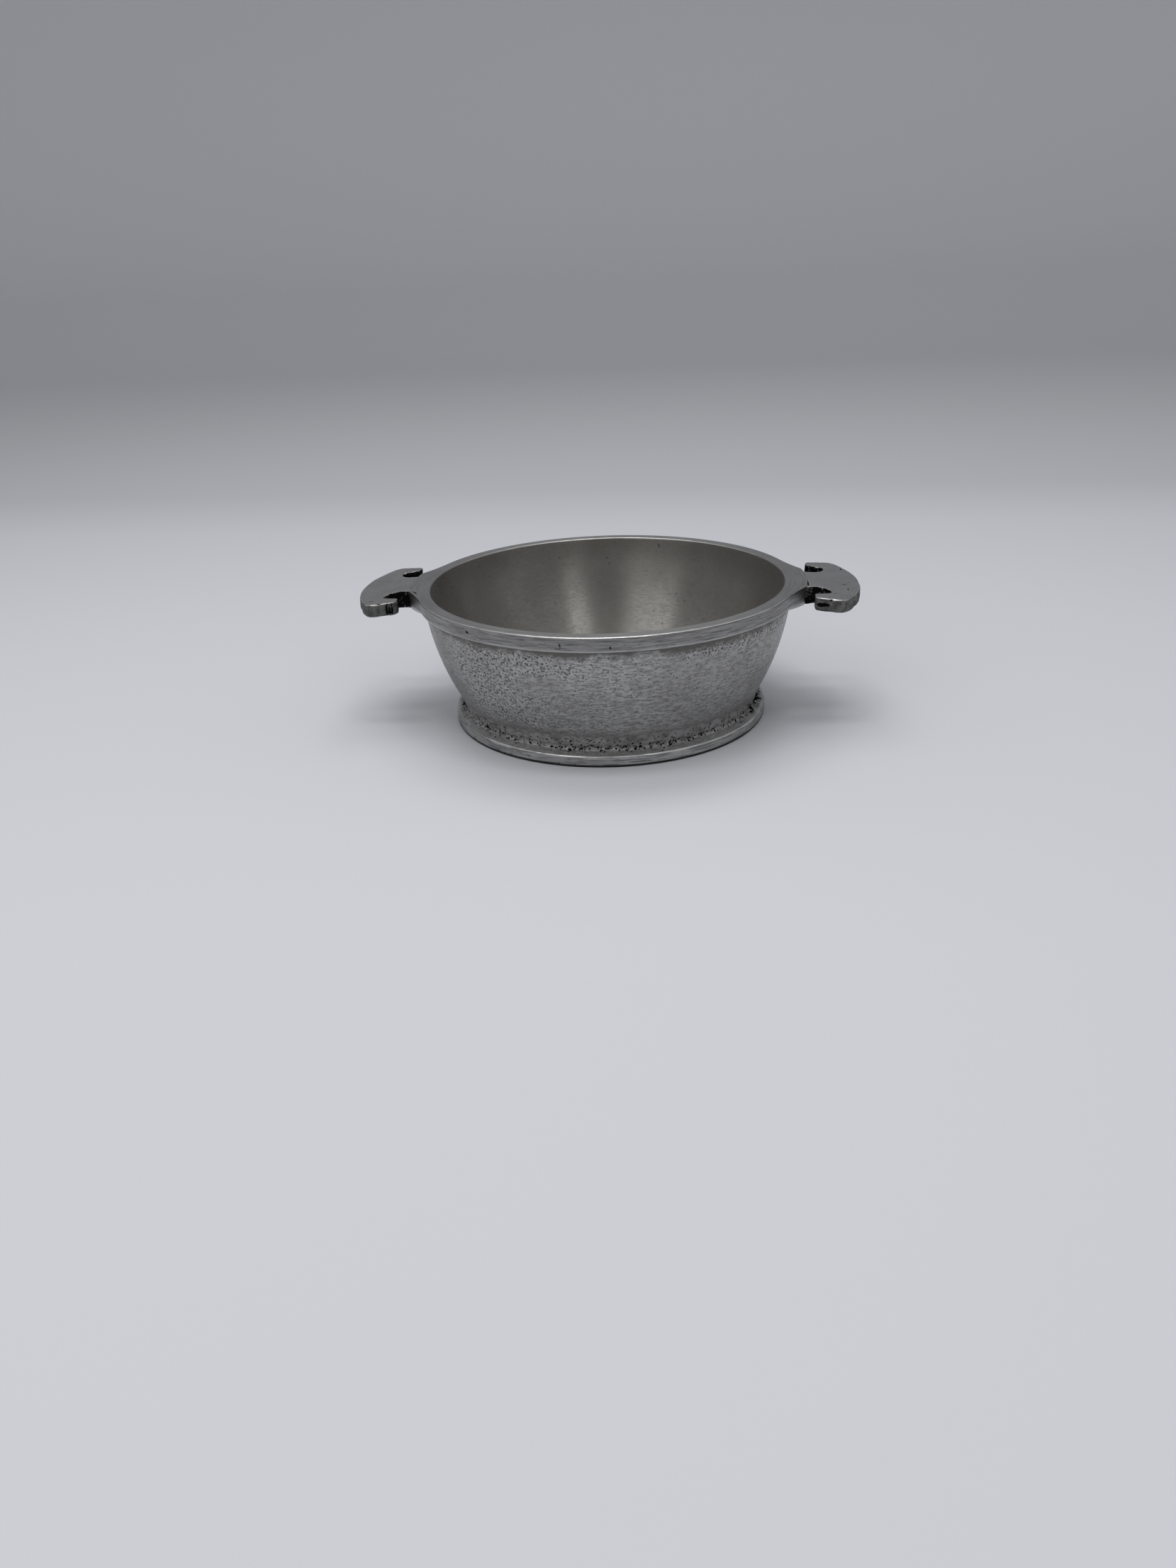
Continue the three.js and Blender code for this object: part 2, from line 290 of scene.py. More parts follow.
class Turning:
    """A closed turned mesh, grown ring by ring, whose rings may have few or many columns."""

    def __init__(self):
        self.points = []
        self.rings = []
        self.faces = []
        self.materials = []
        self.values = {}
        self.count = 0

    def ring(self, points, material, **values):
        """Adds a ring of points and joins it to the ring before."""
        ids = np.arange(self.count, self.count + len(points))
        self.points.append(points)
        for name in self.values | values:
            rows = self.values.setdefault(name, [np.zeros(self.count)])
            rows.append(np.broadcast_to(values.get(name, 0.0), (len(points),)))
        self.count += len(points)
        if self.rings:
            self.join(self.rings[-1], ids, material)
        self.rings.append(ids)

    def join(self, lower, upper, material):
        """Faces between two rings, either of which may be a single point."""
        after, above = np.roll(lower, -1), np.roll(upper, -1)
        if len(lower) == 1:
            groups = [(lower, above, upper)]
        elif len(upper) == 1:
            groups = [(lower, after, upper)]
        elif len(lower) == len(upper):
            groups = [(lower, after, above, upper)]
        else:
            groups = self.fans(lower, upper)
        corners = [np.stack(np.broadcast_arrays(*group), 1) for group in groups]
        faces = np.stack(corners, 1).reshape(-1, len(groups[0])).tolist()
        self.faces += faces
        self.materials += [material] * len(faces)

    @staticmethod
    def fans(lower, upper):
        """Triangles from a ring to one with four times, or a quarter of, its columns."""
        here, fine = sorted((lower, upper), key=len)
        after = np.roll(here, -1)
        a, b, c, d, e = (np.roll(fine, -k)[::4] for k in range(5))
        fans = [(here, b, a), (here, c, b), (here, after, c), (after, d, c), (after, e, d)]
        return [fan[::-1] for fan in fans] if fine is lower else fans

    def close(self, material):
        """Joins the last ring to the first."""
        self.join(self.rings[-1], self.rings[0], material)

    def build(self, name, materials):
        values = {key: np.concatenate(rows) for key, rows in self.values.items()}
        return mesh_object(name, np.concatenate(self.points), self.faces, materials, self.materials, values)


# Objects

def shown(name, data):
    """A new object in the scene."""
    thing = bpy.data.objects.new(name, data)
    bpy.context.scene.collection.objects.link(thing)
    return thing


def store_values(mesh, values):
    """Keeps named values on a mesh's points, for its material."""
    for key, value in values.items():
        attribute = mesh.attributes.new(key, "FLOAT", "POINT")
        attribute.data.foreach_set("value", value.astype(np.float32))


def mesh_object(name, points, faces, materials, face_materials=None, values=None):
    """A smooth-shaded object from points in millimetres, with values stored on its points."""
    mesh = bpy.data.meshes.new(name)
    mesh.from_pydata((points * MM).tolist(), [], faces)
    for material in materials:
        mesh.materials.append(material)
    if face_materials is not None:
        mesh.polygons.foreach_set("material_index", face_materials)
    store_values(mesh, values or {})
    mesh.shade_smooth()
    mesh.validate()
    mesh.update()
    return shown(name, mesh)


def place(piece, node, slot):
    """The piece rides with the pot and stands for a solid."""
    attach(piece, "root")
    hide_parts(node)


# Materials

class Nodes:
    """Makes and links the nodes of one tree."""

    def __init__(self, tree):
        self.tree = tree

    def put(self, value, socket):
        """Sets an input to a value, or links it to another node's output."""
        if isinstance(value, bpy.types.NodeSocket):
            self.tree.links.new(value, socket)
        else:
            socket.default_value = value

    def node(self, kind, inputs=(), **settings):
        """A new shader node. Its inputs are pairs of a name or a number and what goes in there."""
        node = self.tree.nodes.new("ShaderNode" + kind)
        for key, value in settings.items():
            setattr(node, key, value)
        for key, value in inputs:
            self.put(value, node.inputs[key])
        return node

    def math(self, operation, a, b=0.0):
        return self.node("Math", enumerate((a, b)), operation=operation).outputs[0]

    def times(self, a, b):
        return self.math("MULTIPLY", a, b)

    def ramp(self, value, low, high, to_low=0.0, to_high=1.0):
        """Goes softly from one value at low to another at high."""
        inputs = enumerate((value, low, high, to_low, to_high))
        return self.node("MapRange", inputs, interpolation_type="SMOOTHSTEP").outputs[0]


class Surface(Nodes):
    """A material whose colour, roughness and fine relief come from a node tree."""

    def __init__(self, name, metallic=1.0, anisotropy=0.0):
        self.material = bpy.data.materials.new(name)
        self.material.use_nodes = True
        super().__init__(self.material.node_tree)
        self.shader = self.tree.nodes["Principled BSDF"]
        self.shade("Metallic", metallic)
        if anisotropy:
            self.shade("Anisotropic", anisotropy)
            self.shade("Anisotropic Rotation", 0.25)
            tangent = self.node("Tangent", direction_type="RADIAL", axis="Z")
            self.shade("Tangent", tangent.outputs[0])
        self.position = self.node("TexCoord").outputs["Object"]

    def shade(self, name, value):
        self.put(value, self.shader.inputs[name])

    def value(self, name):
        """A value stored on the mesh's points."""
        return self.node("Attribute", attribute_name=name).outputs["Fac"]

    def noise(self, vector, scale, detail=3.0, roughness=0.55):
        inputs = (("Vector", vector), ("Scale", scale), ("Detail", detail), ("Roughness", roughness))
        return self.node("TexNoise", inputs).outputs["Fac"]

    def polar(self, turn_scale, radius_scale, height_scale):
        """Coordinates that run round the pot's axis without a seam: stretched along the turn."""
        x, y, z = self.node("SeparateXYZ", ((0, self.position),)).outputs
        radius = self.math("SQRT", self.math("ADD", self.times(x, x), self.times(y, y)))
        safe = self.math("MAXIMUM", radius, 1e-4)
        turn = [self.times(self.math("DIVIDE", v, safe), turn_scale) for v in (x, y)]
        across = self.math("ADD", self.times(radius, radius_scale), self.times(z, height_scale))
        return self.node("CombineXYZ", enumerate((*turn, across))).outputs[0]

    def mix(self, share, a, b):
        """Blends two colours."""
        a, b = (c if isinstance(c, bpy.types.NodeSocket) else (*c, 1.0) for c in (a, b))
        inputs = (("Factor", share), (6, a), (7, b))
        return self.node("Mix", inputs, data_type="RGBA").outputs[2]

    def bump(self, height, distance, strength, normal=None):
        inputs = [("Height", height), ("Distance", distance), ("Strength", strength)]
        if normal is not None:
            inputs.append(("Normal", normal))
        return self.node("Bump", inputs).outputs[0]

    def finish(self, colour, roughness, normal):
        self.shade("Base Color", colour)
        self.shade("Roughness", roughness)
        self.shade("Normal", normal)
        return self.material


def dimmed(colour, share):
    return tuple(share * c for c in colour)


def hammered_metal():
    """The wall's outside: pressed dimples with dark lows and lips lightened as a painted highlight, brush
    marks round the pot, and darkening that is partly stain and partly painted shade.
    """
    metal = Surface("hammered_aluminium")
    mix, ramp, noise, value = metal.mix, metal.ramp, metal.noise, metal.value
    lows = value("lows")
    stain_and_shade = value("stain_and_shade")
    brush = noise(metal.polar(24.0, 0.0, 1350.0), 1.0, 4.0, 0.65)
    dashes = noise(metal.polar(62.0, 0.0, 1250.0), 1.0, 2.0, 0.5)
    patches = noise(metal.position, 42.0)
    grain = noise(metal.position, 2600.0, 2.0)
    polish = mix(ramp(patches, 0.32, 0.68), (0.36, 0.357, 0.350), (0.47, 0.467, 0.459))
    brushed = mix(ramp(brush, 0.36, 0.60), (0.24, 0.237, 0.230), polish)
    dashed = mix(ramp(dashes, 0.56, 0.66, 0.0, 0.5), brushed, (0.13, 0.128, 0.122))
    # Ridges between dimples lightened: partly polish, partly a painted highlight on the dimple lips
    polish_and_lip_highlight = ramp(value("polish_and_lip_highlight"), 0.3, 1.0, 0.0, 0.42)
    polished_and_highlit = mix(polish_and_lip_highlight, dashed, (0.62, 0.616, 0.606))
    pressed = mix(ramp(lows, 0.05, 0.85, 0.0, 0.8), polished_and_highlit, (0.085, 0.0835, 0.080))
    speckled = mix(value("specks"), pressed, (0.012, 0.012, 0.011))
    # Darkened where stains lie and, under the band and just above the foot, by painted shade
    colour = mix(stain_and_shade, speckled, (0.118, 0.112, 0.103))
    metal.shade("Metallic", ramp(stain_and_shade, 0.0, 1.0, 1.0, 0.4))
    metal.shade("Specular IOR Level", 0.05)
    roughness = metal.math("ADD", ramp(patches, 0.3, 0.7, 0.44, 0.36), metal.times(lows, 0.2))
    normal = metal.bump(brush, 0.00005, 0.7, metal.bump(grain, 0.00004, 0.5))
    return metal.finish(colour, roughness, normal)


def turned_metal(
    name, light, dark, roughness, anisotropy, turn_scale, line_scale, contrast, metallic=1.0, radial=1.0
):
    """A lathe-turned face: fine lines round the axis, a few scratches, soft stains, edges lightened by wear
    and by painted highlights.
    """
    metal = Surface(name, metallic, anisotropy)
    mix, ramp, noise, value = metal.mix, metal.ramp, metal.noise, metal.value
    marks = value("lows")
    rubbed_and_highlit = value("worn")
    across = (radial * line_scale, line_scale)
    lines = noise(metal.polar(turn_scale, *across), 1.0, 4.0, 0.65)
    scratches = noise(metal.polar(2.5 * turn_scale, *across), 1.0, 1.0, 0.4)
    stains = noise(metal.position, 34.0, 4.0)
    specks = noise(metal.position, 560.0, 0.0)
    base = mix(ramp(stains, 0.3, 0.7), dark, light)
    lined = mix(ramp(lines, 0.36, 0.58, contrast, 0.0), base, dimmed(dark, 0.45))
    scratched = mix(ramp(scratches, 0.64, 0.74, 0.0, contrast), lined, dimmed(dark, 0.35))
    speckled = mix(ramp(specks, 0.835, 0.865, 0.0, 0.8), scratched, dimmed(dark, 0.15))
    worn = mix(rubbed_and_highlit, speckled, (0.85, 0.848, 0.84))
    colour = mix(ramp(marks, 0.15, 0.6, 0.0, 0.93), worn, (0.02, 0.02, 0.019))
    rough = ramp(lines, 0.3, 0.7, roughness + 0.06, roughness - 0.04)
    rough = metal.math("ADD", rough, metal.times(marks, 0.25))
    rough = metal.math("SUBTRACT", rough, metal.times(rubbed_and_highlit, 0.18))
    return metal.finish(colour, rough, metal.bump(lines, 0.00003, 0.6))


def cast_metal(name, light, dark, roughness):
    """Sand-cast skin: grainy, stained, dull on its sides and darker there partly as painted shade, edges
    lightened by rubbing and painted highlights, black in its pits.
    """
    metal = Surface(name)
    mix, ramp, noise, value = metal.mix, metal.ramp, metal.noise, metal.value
    lows = value("lows")
    stains = noise(metal.position, 70.0, 4.0)
    blotches = noise(metal.position, 330.0)
    sand = noise(metal.position, 1500.0)
    skin = mix(ramp(stains, 0.3, 0.72), dark, light)
    dull = metal.times(value("dull"), ramp(blotches, 0.35, 0.65, 0.7, 1.0))
    dulled = mix(dull, skin, dimmed(dark, 0.24))
    grainy = mix(ramp(sand, 0.3, 0.52, 0.4, 0.0), dulled, dimmed(dark, 0.4))
    rubbed = mix(value("worn"), grainy, dimmed(light, 1.5))
    colour = mix(ramp(lows, 0.1, 0.55, 0.0, 0.99), rubbed, (0.004, 0.004, 0.0038))
    rough = ramp(stains, 0.3, 0.7, roughness, roughness - 0.08)
    rough = metal.math("ADD", rough, metal.times(lows, 0.3))
    bare = metal.times(ramp(dull, 0.1, 0.9, 1.0, 0.2), ramp(lows, 0.1, 0.55, 1.0, 0.0))
    metal.shade("Metallic", bare)
    metal.shade("Specular IOR Level", 0.0)
    return metal.finish(colour, rough, metal.bump(sand, 0.00008, 0.6))


# The bowl

def build_bowl(materials):
    """Hammered outside, turned inside and a turned, recessed underside, as one closed mesh."""
    fine = turn_angles(FINE_COLUMNS)
    coarse = turn_angles(COARSE_COLUMNS)
    floor_height = BASE_RECESS + FLOOR_THICKNESS
    corner_height = floor_height + FLOOR_CORNER_RADIUS
    corner_reach = INNER_RADIUS - FLOOR_CORNER_RADIUS
    corner_angle = wall_angle(corner_reach, corner_height)
    corner = (WALL_CENTRE[0] + corner_reach * cos(corner_angle), corner_height)
    corner_top = WALL_CENTRE[1] + INNER_RADIUS * sin(corner_angle)
    low_angle = wall_angle(WALL_RADIUS, BASE_RECESS)
    hidden_angle = wall_angle(WALL_RADIUS, FOOT_COLLAR_TOP - 2.0)
    top_angle = wall_angle(WALL_RADIUS, BAND_BOTTOM)
    mesh = Turning()
    hammered, inside, under = range(3)

    def plain_rings(profile, material):
        for radius, height in profile:
            mesh.ring(around(radius, coarse, height), material)

    ring_step, groove_depth, groove_pitch = 0.6, 0.09, 3.1
    mesh.ring(np.array([[0.0, 0.0, BASE_RECESS]]), under)
    radii = np.arange(ring_step, WALL_BASE_RADIUS, ring_step)
    groove = groove_depth * (1 + np.sin(2 * pi * radii / groove_pitch)) * smoothstep(60, 52, radii)
    plain_rings(np.stack([radii, BASE_RECESS + groove], 1), under)
    plain_rings(arc(WALL_CENTRE, WALL_RADIUS, low_angle, hidden_angle, COARSE_STEP), under)

    wall = arc(WALL_CENTRE, WALL_RADIUS, hidden_angle, top_angle, FINE_STEP)[1:]
    normals = (wall - WALL_CENTRE) / WALL_RADIUS
    depth, values = hammered_field(wall, fine)
    for row, point in enumerate(wall):
        ring = turned_ring(point, normals[row], fine, -depth[row])
        mesh.ring(ring, hammered, **{key: value[row] for key, value in values.items()})

    plain_rings([(LINING_RADIUS + 0.3, BAND_BOTTOM - 0.02), (LINING_RADIUS, BAND_BOTTOM + 0.2)], hammered)
    plain_rings([(LINING_RADIUS, LINING_TOP - 0.2), (LINING_RADIUS - 0.3, LINING_TOP - 0.01)], inside)
    heights = np.arange(LINING_TOP, corner_top, -MEDIUM_STEP)
    heights = np.insert(heights, 1, LINING_TOP - 0.05)
    plain_rings(np.stack([inner_wall_radius(heights), heights], 1), inside)
    plain_rings(arc(corner, FLOOR_CORNER_RADIUS, corner_angle, -pi / 2, MEDIUM_STEP), inside)
    plain_rings(line((corner[0], floor_height), (COARSE_STEP, floor_height), COARSE_STEP)[1:], inside)
    mesh.ring(np.array([[0.0, 0.0, floor_height]]), inside)
    return mesh.build("hammered_bowl", materials)


def rubbed_patch(angles, heights):
    """A smooth oval place on the front of the wall."""
    across = (np.degrees(angles) + 103.7) / 4.2
    return np.exp(-(across**2) - ((heights - 38.0) / 3.0) ** 2)


def smooth_side(angles):
    """The nearly smooth stretch of the wall beside the left handle."""
    return between(-178, -160, -156, -134, np.degrees(angles))


def hammer_strength(angles, heights):
    """How strongly the wall is hammered, from 0 to 1: uneven, and weak beside the band and foot."""
    spot = around(1.0, angles, heights / POT_HEIGHT)
    patchy = layered_noise(spot * 3.1, 21)
    degrees = np.degrees(angles) + 9 * layered_noise(spot * 7.0, 25)
    left = between(-154, -124, -122, -92, degrees)
    middle = between(-128, -105, -85, -62, degrees) * smoothstep(38, 46, heights)
    right = between(-78, -58, -24, -8, degrees) * smoothstep(44, 47.5, heights)
    back = between(10, 40, 150, 175, degrees)
    share = 0.28 + 0.24 * patchy + 0.78 * left + 0.3 * middle + 0.8 * right + 0.4 * back
    share = share - 0.6 * smooth_side(angles) - 0.6 * rubbed_patch(angles, heights)
    under_band = smoothstep(BAND_BOTTOM - 1.5, BAND_BOTTOM - 2.8, heights)
    above_foot = smoothstep(FOOT_COLLAR_TOP, FOOT_COLLAR_TOP + 5, heights)
    return unit(share) * under_band * (0.3 + 0.7 * above_foot)


def hammered_field(wall, angles):
    """Depths of the hammered wall and values for its looks, by profile row and turn angle."""
    pitch, speck_count, deepest = 1.45, 420, 0.22
    field = Field(angles, wall)
    specks = Field(angles, wall)
    length = field.lengths[-1]
    for row, along in enumerate(np.arange(0.5 * pitch, length, 0.8 * pitch)):
        radius = np.interp(along, field.lengths, field.radii)
        count = int(2 * pi * radius / pitch)
        turn = -pi + (np.arange(count) + 0.5 * (row % 2)) * 2 * pi / count
        turn = turn + random.normal(0, 0.24, count) * pitch / radius
        at = along + random.normal(0, 0.24, count) * pitch
        shares = hammer_strength(turn, np.interp(at, field.lengths, wall[:, 1]))
        kept = random.uniform(size=count) < 0.06 + 1.05 * shares
        wide = random.uniform(0.32, 0.54, count) + 0.16 * shares
        tall = wide * random.uniform(0.42, 0.62, count) + 0.08 * shares
        tilt = random.normal(-0.5, 0.6, count) * np.minimum(1, 0.3 + shares)
        deep = random.uniform(0.07, 0.25, count) * (0.5 + 0.5 * shares)
        for mark in np.stack([turn, at, wide, tall, tilt, deep], 1)[kept]:
            field.stamp(*mark)
    for _ in range(speck_count):
        size = random.uniform(0.16, 0.36)
        specks.stamp(random.uniform(-pi, pi), random.uniform(0, length), size, size, 0.0, 1.0)
    # One pit under the band and one scratch above the foot: turn, height, half sizes, tilt, darkness
    for turn, height, *mark in ((-109.5, 48.3, 0.6, 0.6, 0.0, 1.0), (-128, 18.0, 0.35, 1.9, 0.5, 0.8)):
        specks.stamp(radians(turn), np.interp(height, wall[:, 1], field.lengths), *mark)

    heights = wall[:, 1][:, None]
    spot = around(1.0, angles, heights / POT_HEIGHT)
    patchy = layered_noise(spot * 4.0, 21)
    mottled = layered_noise(spot * 30.0, 57, 3)
    ripple = 0.05 * layered_noise(spot * 46.0, 5)
    under_band = smoothstep(BAND_BOTTOM - 1.0, BAND_BOTTOM - 3.4, heights)
    depth = field.depth - ripple * under_band + 0.12 * specks.depth
    # Darkening under the band: partly a stain, partly painted shade beneath the band's edge
    stain_and_shade = 0.9 * smoothstep(BAND_BOTTOM - 4.6, BAND_BOTTOM - 1.0, heights + patchy + 1.3 * mottled)
    # Darkening just above the foot: painted shade in the cove over the collar
    shade_above_foot = smoothstep(FOOT_COLLAR_TOP + 4.5, FOOT_COLLAR_TOP - 0.2, heights + 0.8 * patchy)
    for other in (0.25 * rubbed_patch(angles, heights), 0.32 * smooth_side(angles), 0.6 * shade_above_foot):
        stain_and_shade = np.maximum(stain_and_shade, other)
    lows = unit(field.depth / deepest)
    # Lips around each dimple lightened as a painted highlight, standing in for the light caught by raised
    # rims
    beside = [np.roll(lows, shift, axis) for shift in (-2, 2) for axis in (0, 1)]
    lip_highlight = unit(np.max(beside, axis=0) - lows) * unit(0.6 + mottled)
    polish_and_lip_highlight = np.maximum(lip_highlight, 0.6 * hammer_strength(angles, heights) * (1 - lows))
    return depth, {"lows": lows, "polish_and_lip_highlight": polish_and_lip_highlight, "specks": specks.depth, "stain_and_shade": stain_and_shade}


# The rim band

def scallop_start():
    """The angle at which the scallop beside a neck leaves the end of its lug."""
    reach = float(norm(SCALLOP))
    cosine = (reach**2 + SCALLOP_RADIUS**2 - LUG_RADIUS**2) / (2 * reach * SCALLOP_RADIUS)
    return atan2(SCALLOP[1], SCALLOP[0]) - pi + acos(cosine)


def lug_outline(angles):
    """How far the rim's outside flares out at each turn angle, and how much deeper it is there."""
    corner = on_circle(SCALLOP, SCALLOP_RADIUS, scallop_start())
    corner_angle = atan2(corner[1], corner[0])
    flare = BAND_BASE_RADIUS + FLARE_RADIUS
    cosine = (flare**2 + LUG_RADIUS**2 - FLARE_RADIUS**2) / (2 * flare * LUG_RADIUS)
    touch_angle = corner_angle + acos(cosine)
    off = np.minimum(np.abs(angles), np.pi - np.abs(angles))
    turn = np.clip(touch_angle - off, 0, touch_angle - corner_angle)
    radius = flare * np.cos(turn) - np.sqrt(FLARE_RADIUS**2 - (flare * np.sin(turn)) ** 2)
    extra_depth = HANDLE_DROP + HANDLE_ROOT_THICKNESS - (POT_HEIGHT - BAND_BOTTOM)
    return radius - BAND_BASE_RADIUS, extra_depth * smoothstep(touch_angle, corner_angle, off) ** 0.6


def edge_wear_and_highlight(normals, angles, seed):
    """Brightness on the rounded edges of a turned profile, uneven along the turn: partly rubbed wear, partly
    a painted highlight.
    """
    diagonal = 1 - np.abs(normals[:, 0] ** 2 - normals[:, 1] ** 2)
    uneven = unit(0.75 + 0.5 * layered_noise(around(24, angles, 0.0), seed))
    return smoothstep(0.35, 0.8, diagonal)[:, None] * uneven


def band_relief(profile):
    """The band's outside is slightly hollow, with a thin bead along its lower edge."""
    bead_rise, bead_height, bead_width = 0.16, 0.65, 0.35
    hollow = 0.12
    radius, height = profile.T
    outside = radius > RIM_RADIUS - 1.5
    bead = bead_rise * bell(bead_height, bead_width, height - BAND_BOTTOM)
    middle = unit((height - BAND_BOTTOM) / (POT_HEIGHT - BAND_BOTTOM))
    return outside * (bead - hollow * np.sin(pi * middle))


def build_rim(materials):
    """The turned band, which flares out on two sides into the lugs of the handles."""
    bottom_fillet, top_fillet, mouth_fillet = 0.6, 0.7, 0.65
    under_step, band_step, top_step, hidden_step = 0.7, 0.3, 0.36, 1.5
    deepest = 0.2
    lining = LINING_RADIUS + 0.08
    lining_edge = (float(inner_wall_radius(LINING_TOP)), LINING_TOP)
    inner_bottom = (lining, BAND_BOTTOM)
    outer_bottom = (BAND_BASE_RADIUS, BAND_BOTTOM)
    outer_top = (RIM_RADIUS, POT_HEIGHT)
    inner_top = (MOUTH_RADIUS, POT_HEIGHT)
    bottom_round = rounded(inner_bottom, outer_bottom, outer_top, bottom_fillet)
    top_round = rounded(outer_bottom, outer_top, inner_top, top_fillet)
    mouth_round = rounded(outer_top, inner_top, lining_edge, mouth_fillet)
    profile = joined(
        line(inner_bottom, bottom_round[0], under_step),
        bottom_round,
        line(bottom_round[-1], top_round[0], band_step),
        top_round,
        line(top_round[-1], mouth_round[0], top_step),
        mouth_round,
        np.array([lining_edge, (lining, LINING_TOP - 0.01)]),
        line((lining, LINING_TOP - 0.3), inner_bottom, hidden_step)[:-1],
    )
    profile[:, 0] += band_relief(profile)
    radii, heights = profile.T
    angles = turn_angles(RIM_COLUMNS)
    normals = profile_normals(profile)
    field = Field(angles, profile)
    stamp_rim_marks(field, profile)
    # Rounded edges of the rim lightened: partly wear, partly painted highlights
    worn = 0.8 * edge_wear_and_highlight(normals, angles, 61)
    worn[radii < MOUTH_RADIUS + 2] *= 0.35
    worn = worn * (0.35 + 0.65 * smoothstep(0.98, 0.86, np.abs(np.cos(angles))))
    # A painted highlight along the band's lower edge
    bead = bell(0.7, 0.25, heights - BAND_BOTTOM) * (radii > RIM_RADIUS - 1.5)
    worn = np.maximum(worn, 0.3 * bead[:, None])
    flare, deepening = lug_outline(angles)
    outward = smoothstep(MOUTH_RADIUS + 1.5, RIM_RADIUS - 1.2, radii)
    lowered = smoothstep(BAND_BOTTOM + 2.5, BAND_BOTTOM, heights)
    lowered = lowered * smoothstep(WALL_TOP_RADIUS - 0.2, WALL_TOP_RADIUS + 1.0, radii)
    mesh = Turning()
    top, band, inside = range(3)
    for row, (radius, height) in enumerate(profile):
        point = (radius + flare * outward[row], height - deepening * lowered[row])
        ring = turned_ring(point, normals[row], angles, -field.depth[row])
        material = band if height < POT_HEIGHT - 0.3 else top
        if radius < MOUTH_RADIUS + 0.05 or row > len(profile) - 3:
            material = inside
        mesh.ring(ring, material, lows=unit(field.depth[row] / deepest), worn=worn[row])
    mesh.close(inside)
    return mesh.build("turned_rim", materials)


def stamp_rim_marks(field, profile):
    """Nicks and short ticks on the band, the rim's top face and its edges."""
    band = np.nonzero((profile[:, 0] > RIM_RADIUS - 2) & (profile[:, 1] < POT_HEIGHT - 0.5))[0]
    top = np.nonzero(profile[:, 1] > POT_HEIGHT - 0.05)[0]
    # The nicks that show in front: turn, share of the way along, half sizes, tilt and depth
    band_nicks = (
        (-2.233, 0.6, 1.0, 0.55, -0.5, 0.35),
        (-1.72, 0.55, 0.3, 1.3, 0.1, 0.16),
        (-1.485, 0.4, 0.3, 1.1, 0.0, 0.16),
        (-1.73, 0.3, 1.6, 0.3, 0.0, 0.12),
    )
    top_nicks = ((-2.925, 0.14, 2.4, 0.4, 0.0, 0.35), (-3.03, 0.12, 1.6, 0.4, 0.0, 0.1))
    for rows, count, size, nicks in ((band, 260, 0.26, band_nicks), (top, 90, 0.24, top_nicks)):
        low, high = field.lengths[rows[0]], field.lengths[rows[-1]]
        for _ in range(count):
            wide = size * random.uniform(0.7, 2.4)
            tall = size * random.uniform(0.5, 0.9)
            field.strew(random.uniform(low, high), wide, tall, 0.03, 0.12)
        for angle, share, *mark in nicks:
            field.stamp(angle, low + share * (high - low), *mark)


# The foot ring

